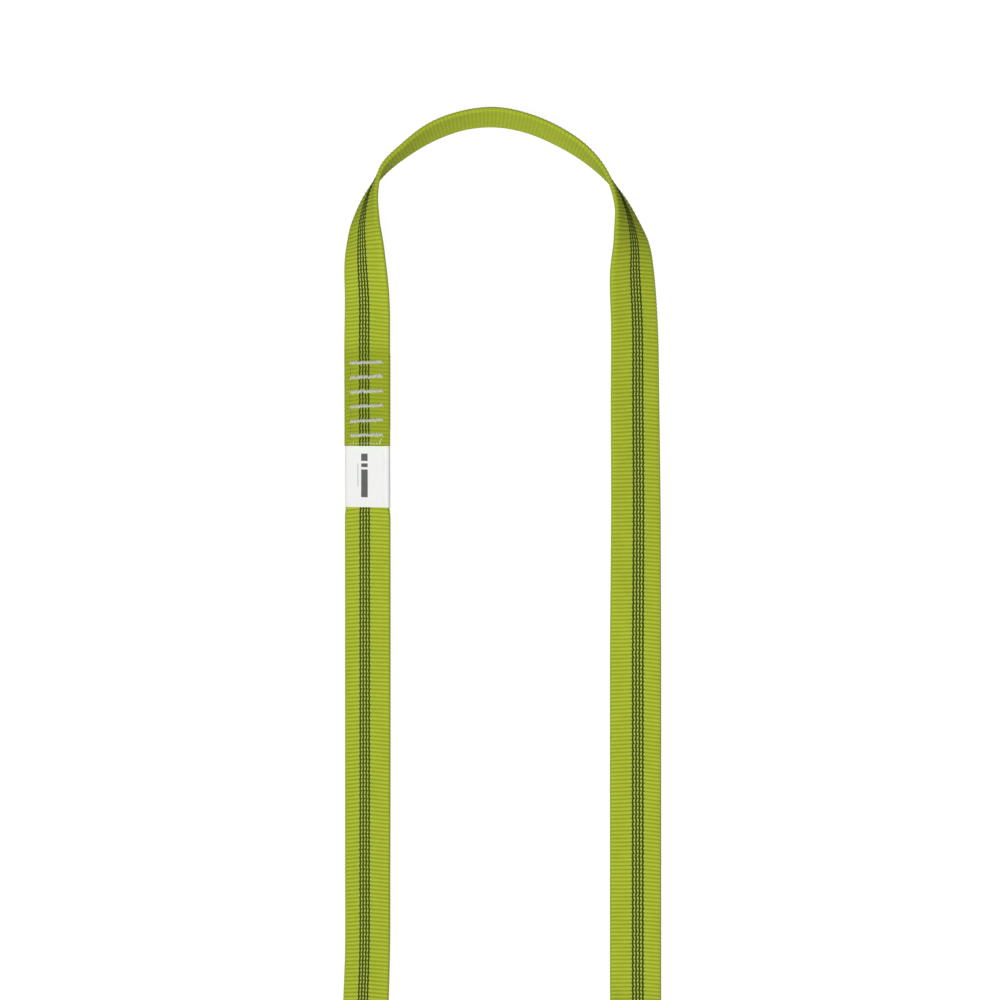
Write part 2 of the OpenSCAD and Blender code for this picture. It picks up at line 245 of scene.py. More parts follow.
class WebLine:
    """Centre line of the web and its frame. Distance s runs along the web from the front ply's cut
    end, u runs across it from the lower to the upper edge, and v stands out of the marked face."""

    def __init__(self, scene):
        self.sling = scene.sling_sizes
        self.web = scene.webbing_sizes
        self.seam = scene.seam_sizes
        self.label = scene.label_sizes
        straight = (self.sling.loop_length - self.sling.leg_spacing) / 2
        wanted = 2 * self.sling.loop_length + math.pi * self.web.thickness
        self.trace(straight)
        self.trace(straight + (wanted - self.length) / 4)
        self.total = self.length + self.seam.overlap
        self.ply_step = self.web.thickness + PLY_GAP
        self.seam_shift = self.ply_step * math.tan(math.radians(SEAM_ROLL))
        self.ribs = round(self.total / self.web.rib_pitch)
        self.label_from = self.length - self.label.length
        self.label_to = self.length + self.label.tuck

    def trace(self, half):
        """Fills the tables for bights whose centres are half above and below the origin. A row's
        height is its lift + (width - thickness)/2 * sin(roll) + thickness/2."""
        grow = self.web.width / ROUTE_WEB_WIDTH
        spread = self.sling.leg_spacing / ROUTE_SPACING

        def placed(rows, centre):
            return rows * [spread, 1, 1, grow] + [0, centre, 0, 0]

        def seam_rows(backs):
            back = np.array(backs)
            side = np.full(len(back), -self.sling.leg_spacing / 2)
            return np.stack(
                [side, half - SEAM_DROP + back, side * 0 + SEAM_ROLL, SEAM_LIFT + SEAM_SLOPE * back], axis=1
            )

        rows = smooth_closed(
            np.concatenate([
                seam_rows(SEAM_AFTER),
                placed(UPPER_BIGHT, half),
                placed(RIGHT_LEG_UPPER, half),
                placed(RIGHT_LEG_LOWER, -half),
                placed(LOWER_BIGHT, -half),
                placed(LEFT_LEG_LOWER, -half),
                seam_rows(SEAM_BEFORE),
            ]),
            ROUTE_STEPS,
        )
        rows = np.concatenate([rows, rows[:1]])
        self.roll = np.radians(np.maximum(rows[:, 2], 0))
        flat_half = (self.web.width - self.web.thickness) / 2
        height = np.maximum(rows[:, 3], 0) + flat_half * np.sin(self.roll) + self.web.thickness / 2
        self.points = np.column_stack([rows[:, :2], height])
        steps = np.linalg.norm(np.diff(self.points, axis=0), axis=1)
        self.at = np.concatenate([[0], np.cumsum(steps)])
        self.length = float(self.at[-1])

    def look_up(self, s, values):
        """Values at distances s, straight between the table's rows."""
        return np.interp(np.mod(s, self.length), self.at, values)

    def centre(self, s):
        """Points of the centre line."""
        return np.stack([self.look_up(s, self.points[:, k]) for k in range(3)], axis=-1)

    def frame(self, s):
        """Centre, across, along and normal at distances s. Along is the chord over 1 mm to both
        sides. Across is cos(roll) inward + sin(roll) up, square to along."""
        along = unit(self.centre(s + MM) - self.centre(s - MM))
        roll = self.look_up(s, self.roll)[..., None]
        inward = unit(along[..., [1, 0, 2]] * [1, -1, 0])
        across = np.cos(roll) * inward + np.sin(roll) * [0, 0, 1]
        across = unit(across - (across * along).sum(axis=-1, keepdims=True) * along)
        return self.centre(s), across, along, np.cross(across, along)

    def rise(self, s):
        """How far the front ply is lifted over the back ply: step / cos(roll) up to the overlap's
        end, so that they lie a step apart, then smoothly down to nothing."""
        start = self.seam.overlap + STEP_PAST_OVERLAP
        part = 1 - ease((s - start) / STEP_LENGTH)
        return self.ply_step * part / np.cos(self.look_up(s, self.roll))

    def keep(self, s):
        """Share of its width that the web keeps: all of it, but less inside the label, with a
        smooth change to both sides."""
        inside = ease((s - self.label_from) / SQUEEZE_LENGTH + 1) - ease((s - self.label_to) / SQUEEZE_LENGTH)
        return 1 - self.label.squeeze / self.web.width * inside

    def sew(self, u, s, v):
        """Points centre + u across + v normal, square to the back ply."""
        u, s, v = np.broadcast_arrays(u, s, v)
        centre, across, _, normal = self.frame(s)
        return centre + u[..., None] * across + v[..., None] * normal

    def place(self, u, s, v):
        """Points of the web itself: centre + u across + v normal, lifted straight up by the rise."""
        return self.sew(u, s, v) + self.rise(np.broadcast_arrays(u, s, v)[1])[..., None] * [0, 0, 1]

    def slant(self, u, s):
        """How far a rib runs ahead at u: a slope that differs between the outer and inner half and
        changes sign from leg to leg, and a slight wave; none at the cut ends."""
        side = -self.look_up(s, self.points[:, 0]) / (self.sling.leg_spacing / 2)
        middle = u + self.web.marker_shift
        slope = OUTER_SLANT * np.minimum(middle, 0) - INNER_SLANT * np.maximum(middle, 0)
        wave = WAVE_HEIGHT * np.sin(u / WAVE_WIDTH + WAVE_BEND * np.sin(s / WAVE_LENGTH))
        fade = ease(s / SLANT_FADE) * ease((self.total - s) / SLANT_FADE)
        return fade * (side * slope + wave)


OUTER_SLANT = 0.1
INNER_SLANT = 0.03
WAVE_HEIGHT = 0.1 * MM
WAVE_WIDTH = 4 * MM
WAVE_LENGTH = 31 * MM
WAVE_BEND = 1.7
SLANT_FADE = 12 * MM


# ---- Meshes -------------------------------------------------------------------------------


def ring_quads(rings, sides, first=0):
    """Quads between neighbouring rings of a tube whose points are numbered ring by ring."""
    ring = np.arange(rings - 1)[:, None] * sides
    here = np.arange(sides)[None, :]
    beside = (here + 1) % sides
    corners = [ring + here, ring + sides + here, ring + sides + beside, ring + beside]
    return first + np.stack(np.broadcast_arrays(*corners), axis=-1).reshape(-1, 4)


def sleeve_faces(outer_rings, inner_rings, sides):
    """Faces of a tube with a bore, its inner rings numbered after the outer ones: the outer side,
    the inner side turned inwards, and a collar between them at each end."""
    first = outer_rings * sides
    last_outer, last_inner = first - sides, first + (inner_rings - 1) * sides
    here = np.arange(sides)
    beside = (here + 1) % sides
    collars = np.concatenate([
        np.stack([first + here, here, beside, first + beside], axis=1),
        np.stack([last_outer + here, last_inner + here, last_inner + beside, last_outer + beside], axis=1),
    ])
    return [ring_quads(outer_rings, sides), ring_quads(inner_rings, sides, first)[:, ::-1], collars]


def signed_volume(points, faces):
    """Volume inside the faces, each taken as a fan from its first corner."""
    total = 0.0
    for group in faces:
        group = np.asarray(group)
        corner = points[group[:, :1]]
        second, third = points[group[:, 1:-1]], points[group[:, 2:]]
        total += (np.broadcast_to(corner, second.shape) * np.cross(second, third)).sum() / 6
    return total


def add_piece(name, points, faces, attributes, nodes, material):
    """A smooth mesh object from points and groups of equal-sided faces, turned so that the faces
    point outwards, with vector attributes, a material, and its place in the frame."""
    if signed_volume(points, faces) < 0:
        faces = [np.asarray(group)[:, ::-1] for group in faces]
    mesh = bpy.data.meshes.new(name)
    mesh.from_pydata(points.tolist(), [], [face for group in faces for face in np.asarray(group).tolist()])
    if mesh.validate():
        raise RuntimeError(f"{name} had faces that were not valid")
    mesh.polygons.foreach_set("use_smooth", np.full(len(mesh.polygons), True))
    for attribute, values in attributes.items():
        layer = mesh.attributes.new(attribute, "FLOAT_VECTOR", "POINT")
        layer.data.foreach_set("vector", np.ascontiguousarray(values, np.float32).ravel())
    mesh.materials.append(material)
    piece = bpy.data.objects.new(name, mesh)
    bpy.context.scene.collection.objects.link(piece)
    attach(piece, "root")
    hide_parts(*nodes)
    return piece


def thread_grid(points, reference, radius, sides, flat=1.0):
    """Rings of a thread along points: at angle a, a ring's point is radius * (cos a * side +
    flat * sin a * up), with side the part of the reference vectors square to the thread. Returns
    the rings' points and their (cos a, sin a, length in mm)."""
    along = unit(np.gradient(points, axis=0))
    side = unit(reference - (reference * along).sum(axis=1, keepdims=True) * along)
    up = np.cross(side, along)
    angle = np.linspace(0, 2 * np.pi, sides, endpoint=False)
    radius = np.broadcast_to(radius, len(points))[:, None, None]
    ring = np.cos(angle)[None, :, None] * side[:, None] + flat * np.sin(angle)[None, :, None] * up[:, None]
    length = np.concatenate([[0], np.cumsum(np.linalg.norm(np.diff(points, axis=0), axis=1))]) / MM
    lay = np.stack(
        np.broadcast_arrays(np.cos(angle)[None, :], np.sin(angle)[None, :], length[:, None]), axis=-1
    )
    return points[:, None] + radius * ring, lay


def join_threads(grids):
    """One set of points, faces and lay values from several thread grids, both ends of each closed."""
    points, lays, quads, caps, first = [], [], [], [], 0
    for grid, lay in grids:
        rings, sides = grid.shape[:2]
        points.append(grid.reshape(-1, 3))
        lays.append(lay.reshape(-1, 3))
        quads.append(ring_quads(rings, sides, first))
        caps.append(first + np.arange(sides))
        caps.append(first + (rings - 1) * sides + np.arange(sides)[::-1])
        first += rings * sides
    return np.concatenate(points), [np.concatenate(quads), np.array(caps)], np.concatenate(lays)


def add_thread(name, grids, node, material):
    """A piece made of thread grids that stands for one CAD node."""
    points, faces, lay = join_threads(grids)
    return add_piece(name, points, faces, {"lay": lay}, [node], material)


# ---- Materials ----------------------------------------------------------------------------


class Nodes:
    """Short ways to add nodes to a material's or group's tree."""

    def __init__(self, tree):
        self.tree = tree

    def add(self, kind, **values):
        node = self.tree.nodes.new(kind)
        for name, value in values.items():
            setattr(node, name, value)
        return node

    def feed(self, socket, value):
        """Links an output to a socket, or sets a constant on it."""
        if isinstance(value, bpy.types.NodeSocket):
            self.tree.links.new(value, socket)
        elif value is not None:
            socket.default_value = value

    def math(self, operation, a, b=None, c=None):
        node = self.add("ShaderNodeMath", operation=operation)
        for socket, value in zip(node.inputs, (a, b, c)):
            self.feed(socket, value)
        return node.outputs[0]

    def plus(self, a, b):
        return self.math("ADD", a, b)

    def minus(self, a, b):
        return self.math("SUBTRACT", a, b)

    def times(self, a, b):
        return self.math("MULTIPLY", a, b)

    def larger(self, a, b):
        return self.math("MAXIMUM", a, b)

    def step(self, value, low, high, to_low=0.0, to_high=1.0):
        """Smooth step of value from low to high."""
        node = self.add("ShaderNodeMapRange", interpolation_type="SMOOTHSTEP")
        for socket, given in zip(node.inputs, (value, low, high, to_low, to_high)):
            self.feed(socket, given)
        return node.outputs[0]

    def mix(self, factor, a, b):
        node = self.add("ShaderNodeMix", data_type="RGBA")
        self.feed(node.inputs[0], factor)
        self.feed(node.inputs[6], a)
        self.feed(node.inputs[7], b)
        return node.outputs[2]

    def split(self, vector):
        node = self.add("ShaderNodeSeparateXYZ")
        self.feed(node.inputs[0], vector)
        return node.outputs

    def join(self, x, y, z=0.0):
        node = self.add("ShaderNodeCombineXYZ")
        for socket, value in zip(node.inputs, (x, y, z)):
            self.feed(socket, value)
        return node.outputs[0]

    def noise(self, vector, scale, detail=2.0):
        node = self.add("ShaderNodeTexNoise")
        self.feed(node.inputs["Vector"], vector)
        node.inputs["Scale"].default_value = scale
        node.inputs["Detail"].default_value = detail
        return node.outputs[0]

    def attribute(self, name):
        return self.add("ShaderNodeAttribute", attribute_name=name).outputs["Vector"]

    def group(self, tree, **inputs):
        node = self.add("ShaderNodeGroup", node_tree=tree)
        for name, value in inputs.items():
            self.feed(node.inputs[name.replace("_", " ")], value)
        return node.outputs


FLOAT, VECTOR, COLOUR = "NodeSocketFloat", "NodeSocketVector", "NodeSocketColor"


def opaque(rgb):
    """A colour with full alpha."""
    return (*rgb, 1.0)


def new_group(name, inputs, outputs):
    """An empty shader node group with the named sockets, given as (name, type, default)."""
    tree = bpy.data.node_groups.new(name, "ShaderNodeTree")
    for label, kind, default in inputs:
        socket = tree.interface.new_socket(label, in_out="INPUT", socket_type=kind)
        if default is not None:
            socket.default_value = default
    for label, kind in outputs:
        tree.interface.new_socket(label, in_out="OUTPUT", socket_type=kind)
    nodes = Nodes(tree)
    return tree, nodes, nodes.add("NodeGroupInput").outputs, nodes.add("NodeGroupOutput").inputs


def shared_group(name, build):
    """The named node group, built the first time it is asked for."""
    return bpy.data.node_groups.get(name) or build(name)


def build_yarn_twist(name):
    """Twisted yarn: a helix of plies, cos(angle + turns * length), as colour and height, with painted shade
    in the Hollow colour between the plies.
    """
    tree, n, given, out = new_group(
        name,
        [
            ("Lay", VECTOR, None),
            ("Colour", COLOUR, None),
            ("Hollow", COLOUR, None),
            ("Turns", FLOAT, 5.0),
            ("Fleck", FLOAT, 0.2),
        ],
        [("Colour", COLOUR), ("Height", FLOAT)],
    )
    cosine, sine, length = n.split(given["Lay"])
    turn = n.times(length, given["Turns"])
    helix = n.minus(n.times(cosine, n.math("COSINE", turn)), n.times(sine, n.math("SINE", turn)))
    double = n.minus(n.times(n.times(helix, helix), 2.0), 1.0)
    ply = n.step(double, -0.9, 0.6)
    fleck = n.noise(n.join(cosine, sine, n.times(length, 2.0)), 3.0)
    shade = n.times(n.minus(fleck, 0.5), given["Fleck"])
    amount = n.math("MULTIPLY_ADD", ply, 0.85, n.plus(shade, 0.1))
    # Painted shade: the Hollow colour fills the grooves between the plies.
    n.feed(out["Colour"], n.mix(n.step(amount, 0.0, 1.0), given["Hollow"], given["Colour"]))
    n.feed(out["Height"], ply)
    return tree


def build_rib_weave(name):
    """Ribbed weave from (u in mm, ribs counted along, side): crests and valleys whose darker colour is
    partly the yarn's own and partly painted shade, fainter on the unmarked side, yarn ends across each
    crest, a twisted strip at both edges darkened partly in its own colour and partly as painted shade on
    the rounded edge, and small uneven shades from rib to rib."""
    tree, n, given, out = new_group(
        name,
        [
            ("Weave", VECTOR, None),
            ("Crest", COLOUR, None),
            ("Valley", COLOUR, None),
            ("Half width", FLOAT, 12.5),
            ("Unevenness", FLOAT, 0.5),
        ],
        [
            ("Colour", COLOUR),
            ("Height", FLOAT),
            ("Valley", FLOAT),
        ],
    )
    u, rib, side = n.split(given["Weave"])
    from_valley = n.times(n.math("PINGPONG", rib, 0.5), 2.0)
    number = n.math("FLOOR", rib)
    edge = n.step(n.minus(given["Half width"], n.math("ABSOLUTE", u)), 1.0, 0.3)
    valley = n.times(n.step(from_valley, 0.8, 0.0), n.math("MULTIPLY_ADD", edge, -0.3, 1.0))
    valley = n.times(valley, n.step(side, -1.0, 0.5, 0.45, 1.0))
    # Yarn ends, a half end to the side in every second rib
    stagger = n.times(n.math("MODULO", number, 2.0), 0.3)
    ends = n.times(n.math("PINGPONG", n.plus(u, stagger), 0.3), 3.33)
    twist = n.math("PINGPONG", n.plus(n.times(rib, 2.0), n.times(u, 1.1)), 0.5)
    yarn = n.plus(n.times(ends, n.minus(1.0, edge)), n.times(n.times(twist, 2.0), edge))
    # Shades that change from rib to rib, along a rib, and slowly along the web
    along_rib = n.noise(n.join(n.times(u, 0.14), number, side), 1.0, 1.0)
    slow = n.noise(n.join(n.times(u, 0.12), n.times(rib, 0.09), side), 1.0, 3.0)
    fine = n.noise(n.join(n.times(u, 2.6), n.times(rib, 2.4), side), 1.0, 2.0)
    over_web = n.plus(n.times(n.minus(slow, 0.5), 0.7), n.times(n.minus(fine, 0.5), 0.7))
    uneven = n.plus(n.times(n.minus(along_rib, 0.5), 0.9), over_web)
    uneven = n.times(uneven, given["Unevenness"])
    # Painted shade in part: the colour falls from the crest colour to the darker valley colour in the
    # valleys.
    crest = n.minus(1.0, n.times(valley, 0.95))
    crest = n.plus(crest, n.math("MULTIPLY_ADD", yarn, 0.14, -0.1))
    # Painted shade in part: the edge strip is darker, partly in the selvedge's own colour and partly for the
    # shade on its rounded edge.
    crest = n.plus(crest, n.math("MULTIPLY_ADD", edge, -0.35, uneven))
    crest = n.math("MINIMUM", n.larger(crest, 0.0), 1.0)
    n.feed(out["Colour"], n.mix(crest, given["Valley"], given["Crest"]))
    n.feed(out["Height"], n.plus(n.times(yarn, 0.6), n.times(fine, 0.5)))
    n.feed(out["Valley"], valley)
    return tree


def new_material(name, roughness, sheen=0.0, specular=0.35):
    """An empty material with its surface shader, whose plain values are set here."""
    material = bpy.data.materials.new(name)
    material.use_nodes = True
    shader = material.node_tree.nodes["Principled BSDF"]
    shader.inputs["Roughness"].default_value = roughness
    shader.inputs["Sheen Weight"].default_value = sheen
    shader.inputs["Sheen Roughness"].default_value = 0.45
    shader.inputs["Specular IOR Level"].default_value = specular
    return material, Nodes(material.node_tree), shader


def add_bump(n, shader, height, distance, strength=1.0):
    """Bumps the surface by height times distance."""
    bump = n.add("ShaderNodeBump")
    bump.inputs["Strength"].default_value = strength
    bump.inputs["Distance"].default_value = distance
    n.feed(bump.inputs["Height"], height)
    n.feed(shader.inputs["Normal"], bump.outputs["Normal"])


def webbing_material(scene, line):
    """Ribbed lime web. On the marked side, light yarn shows on the crests between and beside the
    dark threads, and painted shade darkens the front ply where it is sewn. Both cut ends are darker."""
    colours, web = scene.sling_colours, scene.webbing_sizes
    material, n, shader = new_material("lime_ribbed_webbing", 0.8, sheen=0.01, specular=0.015)
    weave = n.attribute("weave")
    u, rib, side = n.split(weave)
    ribs = n.group(
        shared_group("rib_weave", build_rib_weave),
        Weave=weave,
        Crest=opaque(colours.crest),
        Valley=opaque(colours.valley),
        Half_width=web.width / MM / 2,
        Unevenness=0.5,
    )
    pitch = web.marker_pitch / MM
    half = web.marker_count * pitch / 2
    from_middle = n.plus(u, web.marker_shift / MM)
    marked = n.step(side, 0.3, 0.7)
    inside = n.times(n.step(n.math("ABSOLUTE", from_middle), half + 0.3, half - 0.1), marked)
    offset = 0.0 if web.marker_count % 2 == 0 else pitch / 2
    gaps = n.math("PINGPONG", n.plus(from_middle, offset), pitch / 2)
    between = n.step(gaps, 0.42, 0.12)
    crest = n.minus(1.0, ribs["Valley"])
    spot = n.times(n.times(between, n.step(crest, 0.35, 0.9)), inside)
    shadow = n.times(n.times(ribs["Valley"], inside), 0.6)
    shade = n.mix(n.times(spot, 0.9), ribs["Colour"], opaque(colours.float_spot))
    shade = n.mix(shadow, shade, opaque([c * 0.35 for c in colours.valley]))
    # Painted shade: the front ply is darker over the sewn overlap, on the marked side.
    sewn = line.seam.overlap / web.rib_pitch
    seam_shade = n.times(n.step(rib, sewn + 4, sewn), marked)
    shade = n.mix(n.times(seam_shade, 0.5), shade, opaque([c * 0.85 for c in colours.valley]))
    fused = n.larger(n.step(rib, 0.45, 0.1), n.step(rib, line.ribs - 0.45, line.ribs - 0.1))
    shade = n.mix(n.times(fused, 0.6), shade, opaque([c * 0.55 for c in colours.valley]))
    n.feed(shader.inputs["Base Color"], shade)
    n.feed(shader.inputs["Roughness"], n.math("MULTIPLY_ADD", ribs["Valley"], 0.15, 0.72))
    add_bump(n, shader, ribs["Height"], 0.09 * MM, 0.8)
    return material


def thread_material(name, tint, turns, roughness, groove_shade=0.5, fleck=0.3, bump=0.06 * MM, gloss=0.3):
    """Twisted thread of one tint, with painted shade between its plies."""
    material, n, shader = new_material(name, roughness, sheen=gloss / 6, specular=gloss)
    yarn = n.group(
        shared_group("yarn_twist", build_yarn_twist),
        Lay=n.attribute("lay"),
        Colour=opaque(tint),
        Hollow=opaque([c * groove_shade for c in tint]),
        Turns=turns,
        Fleck=fleck,
    )
    n.feed(shader.inputs["Base Color"], yarn["Colour"])
    add_bump(n, shader, yarn["Height"], bump)
    return material


BOLD_BAR = (-2.7, 1.0)
THIN_BAR = (-4.7, -4.2)
PRINT_BLUR = 0.12


def label_material(scene):
    """White cloth with a fine even weave, printed on the front with a bold bar cut in three and a
    thin line."""
    colours, label = scene.sling_colours, scene.label_sizes
    material, n, shader = new_material("printed_label_cloth", 0.55, sheen=0.05)
    u, s, side = n.split(n.attribute("weave"))
    warp = n.times(n.math("PINGPONG", u, 0.11), 9.0)
    weft = n.times(n.math("PINGPONG", s, 0.11), 9.0)
    cloth = n.times(warp, weft)
    cloudy = n.noise(n.join(n.times(u, 0.25), n.times(s, 0.25), side), 1.0)
    base = n.mix(cloth, opaque([c * 0.93 for c in colours.label]), opaque(colours.label))
    base = n.mix(n.times(cloudy, 0.12), base, opaque([c * 0.82 for c in colours.label]))

    length = label.length / MM

    def bar(sides, low, high):
        """1 inside a rectangle of the front face, between two distances from the web's middle in
        mm, and between two shares of the label's length from its foot."""
        (left, right), foot, top = sides, length * low, length * high
        across = n.times(n.step(u, left, left + PRINT_BLUR), n.step(u, right, right - PRINT_BLUR))
        along = n.times(n.step(s, foot, foot + PRINT_BLUR), n.step(s, top, top - PRINT_BLUR))
        return n.times(n.times(across, along), n.step(side, 0.3, 0.6))

    upper_parts = n.larger(bar(BOLD_BAR, 0.655, 0.72), bar(BOLD_BAR, 0.755, 0.88))
    bold = n.larger(bar(BOLD_BAR, 0.16, 0.62), upper_parts)
    thin = bar(THIN_BAR, 0.34, 0.72)
    ink = n.larger(n.times(bold, 0.94), n.times(thin, 0.55))
    n.feed(shader.inputs["Base Color"], n.mix(ink, base, opaque(colours.print_ink)))
    add_bump(n, shader, cloth, 0.03 * MM, 0.7)
    return material


# ---- Webbing ------------------------------------------------------------------------------

EDGE_POINTS = 5
FACE_POINTS = 12
RIB_PHASES = np.array([0.0, 0.2, 0.5, 0.8])
RIB_HEIGHTS = np.array([-1.0, 0.35, 1.0, 0.35])
EDGE_STRIP = 1 * MM
EDGE_CHANGE = 0.8 * MM
INNER_RING_GAP = 10 * MM
PATH_POINTS = 400


def oval(width, thickness):
    """Outline of a flat bar with half-round edges: points (u, v) and their outward directions."""
    half, radius = (width - thickness) / 2, thickness / 2
    turn = np.radians(np.linspace(-90, 90, EDGE_POINTS))
    face = np.linspace(half, -half, FACE_POINTS + 2)[1:-1]
    flat = np.zeros(FACE_POINTS)
    u = np.concatenate([half + radius * np.cos(turn), face, -half - radius * np.cos(turn), -face])
    v = np.concatenate([radius * np.sin(turn), flat + radius, -radius * np.sin(turn), flat - radius])
    out_u = np.concatenate([np.cos(turn), flat, -np.cos(turn), flat])
    out_v = np.concatenate([np.sin(turn), flat + 1, -np.sin(turn), flat - 1])
    return u, v, out_u, out_v


def rib_height(web, u, side, phase_height):
    """Height of the ribbed surface over the plain oval: crests on it, valleys below it, less deep
    near both edges, and half as deep on the unmarked side as on the marked one."""
    edge = ease((np.abs(u) - (web.width / 2 - EDGE_STRIP)) / EDGE_CHANGE)
    return web.rib_depth / 2 * (1 - 0.3 * edge) * (0.75 + 0.25 * side) * (phase_height - 1)


class SLING_OT_webbing(bpy.types.Operator):
    bl_idname = "sling.webbing"
    bl_label = "Webbing"

    def execute(self, context):
        scene = context.scene
        line, web = WebLine(scene), scene.webbing_sizes
        ribs = line.ribs
        rib = (np.arange(ribs)[:, None] + RIB_PHASES).ravel()
        rib = np.append(rib, ribs)
        height = np.append(np.tile(RIB_HEIGHTS, ribs), RIB_HEIGHTS[0])
        u, v, out_u, out_v = oval(web.width, web.thickness)
        ahead = rib[:, None] * line.total / ribs
        s = ahead + line.slant(u[None], ahead)
        side = v / (web.thickness / 2)
        proud = rib_height(web, u[None], side, height[:, None])
        outer = line.place(line.keep(s) * (u + proud * out_u), s, v + proud * out_v)
        outer_weave = np.stack(np.broadcast_arrays(u / MM, rib[:, None], side), axis=-1)

        wall = (web.thickness - web.bore) / 2
        inner_u, inner_v, _, _ = oval(web.width - 2 * wall, web.bore)
        rings = round(line.total / INNER_RING_GAP) + 1
        inner_s = np.linspace(0, line.total, rings)[:, None]
        inner = line.place(line.keep(inner_s) * inner_u, inner_s, inner_v)
        inner_rib = inner_s / line.total * ribs
        inner_weave = np.stack(np.broadcast_arrays(inner_u / MM, inner_rib, inner_v * 0 - 1), axis=-1)

        piece = add_piece(
            "webbing_cloth",
            np.concatenate([outer.reshape(-1, 3), inner.reshape(-1, 3)]),
            sleeve_faces(len(rib), rings, len(u)),
            {"weave": np.concatenate([outer_weave.reshape(-1, 3), inner_weave.reshape(-1, 3)])},
            ["webbing"],
            webbing_material(scene, line),
        )
        path = line.place(0.0, np.linspace(0, line.total, PATH_POINTS), 0.0)
        return {"FINISHED"}


# ---- Marker threads -----------------------------------------------------------------------

MARKER_SWAY = 0.15 * MM
MARKER_NOD = 0.09 * MM
MARKER_SIDES = 6
MARKER_FLATNESS = 0.5
MARKER_SINK = 0.05 * MM


class SLING_OT_marker_threads(bpy.types.Operator):
    """Weaves the dark marker threads into the outer face"""

    bl_idname = "sling.marker_threads"
    bl_label = "Marker threads"

    def execute(self, context):
        scene = context.scene
        line, web = WebLine(scene), scene.webbing_sizes
        material = thread_material(
            "dark_marker_thread", scene.sling_colours.marker, turns=3.2, roughness=0.8, groove_shade=0.6, gloss=0.06
        )
        ribs = line.ribs
        rib = np.append((np.arange(ribs)[:, None] + [0, 0.25, 0.5, 0.75]).ravel(), ribs)
        over = np.cos(2 * np.pi * rib)
        for number in range(1, web.marker_count + 1):
            middle = -web.marker_shift + (number - (web.marker_count + 1) / 2) * web.marker_pitch
            ahead = rib * line.total / ribs
            s = ahead + line.slant(np.full_like(ahead, middle), ahead)
            sway = MARKER_SWAY * np.cos(np.pi * rib + 0.4) + MARKER_NOD * np.cos(2 * np.pi * rib + number)
            v = web.thickness / 2 - MARKER_SINK - MARKER_SINK * over
            points = line.place(line.keep(s) * (middle + sway), s, v)
            across = line.frame(s)[1]
            radius = web.marker_width / 2 * (0.94 - 0.12 * over)
            grid = thread_grid(points, across, radius, MARKER_SIDES, MARKER_FLATNESS)
            add_thread(
                f"dark_marker_thread_{number}", [grid], f"marker_thread_{number}", material
            )
        return {"FINISHED"}


# ---- Seam ---------------------------------------------------------------------------------

STITCH_RINGS = 9
STITCH_DEPTH = 0.55 * MM
TACK_INSET = 0.6 * MM
SEWING_TWIST = 7.0
STITCH_BULGE = 0.22 * MM
LONG_STITCH = 0.45 * MM
LONG_STITCH_FROM = 0.94
UNDERLAY_KNOTS = 6
UNDERLAY_OFFSETS = (-0.2 * MM, 0.2 * MM)
THREAD_SIDES = 7


def stitch_path(corner_u, corner_s, depth, bulge):
    """Thread that goes down into the web at each corner (u, s) and over the face between them:
    straight in plan, and in height -depth + (depth + bulge) * sqrt(sin(pi t))."""
    t = np.linspace(0, 1, STITCH_RINGS)[:-1]
    u = (corner_u[:-1, None] + np.diff(corner_u)[:, None] * t).ravel()
    s = (corner_s[:-1, None] + np.diff(corner_s)[:, None] * t).ravel()
    bulge = np.broadcast_to(bulge, len(corner_u) - 1)[:, None]
    height = (-depth + (depth + bulge) * np.sin(np.pi * t) ** 0.5).ravel()
    return np.append(u, corner_u[-1]), np.append(s, corner_s[-1]), np.append(height, -depth)


def sewn_thread(line, u, s, height, face, side, thread, reference):
    """Grid of a thread whose height is over the face at v = face, on the side +1 or -1."""
    _, across, along, _ = line.frame(s)
    reference = across if reference == "across" else along
    return thread_grid(line.sew(u, s, face + side * height), reference, thread / 2, THREAD_SIDES)


def front_face(line):
    """Height of the front ply's outer face over the back ply's middle."""
    return line.ply_step + line.web.thickness / 2


def back_face(line):
    """Height of the back ply's outer face, below its middle."""
    return -line.web.thickness / 2


def bar_tack(line, at, face, side, seed):
    """Grids of one bar tack: two long underlay runs, and a close zigzag over them with uneven
    stitches, some of which reach past the tack. It leans a little towards its upper end, and stops
    an inset short of its lower end."""
    seam = line.seam
    random = np.random.default_rng(seed)
    thread = seam.thread
    half = (seam.tack_length - TACK_INSET) / 2
    shift = line.seam_shift + TACK_INSET / 2
    count = seam.tack_stitches
    corner = np.arange(count + 1)
    u = np.linspace(-half, half, count + 1) + random.normal(0, 0.13 * MM, count + 1)
    u[[0, -1]] = [-half, half]
    reach = seam.tack_width / 2 - thread / 3
    reach = reach + random.normal(0.05 * MM, 0.14 * MM, count + 1)
    reach = reach + LONG_STITCH * (random.random(count + 1) > LONG_STITCH_FROM)
    slope = random.uniform(0.02, 0.05)
    s = at + np.where(corner % 2 == 0, -1, 1) * reach + slope * u
    bulge = STITCH_BULGE + random.normal(0, 0.03 * MM, count)
    path = stitch_path(u, s, STITCH_DEPTH, bulge)
    grids = [sewn_thread(line, path[0] + shift, *path[1:], face, side, thread, "across")]
    for offset in UNDERLAY_OFFSETS:
        knots = np.linspace(-half, half, UNDERLAY_KNOTS) + random.normal(0, 0.2 * MM, UNDERLAY_KNOTS)
        rows = at + offset + slope * knots + random.normal(0, 0.08 * MM, UNDERLAY_KNOTS)
        under = stitch_path(knots, rows, STITCH_DEPTH, 0.0)
        grids.append(sewn_thread(line, under[0] + shift, *under[1:], face, side, thread, "along"))
    return grids


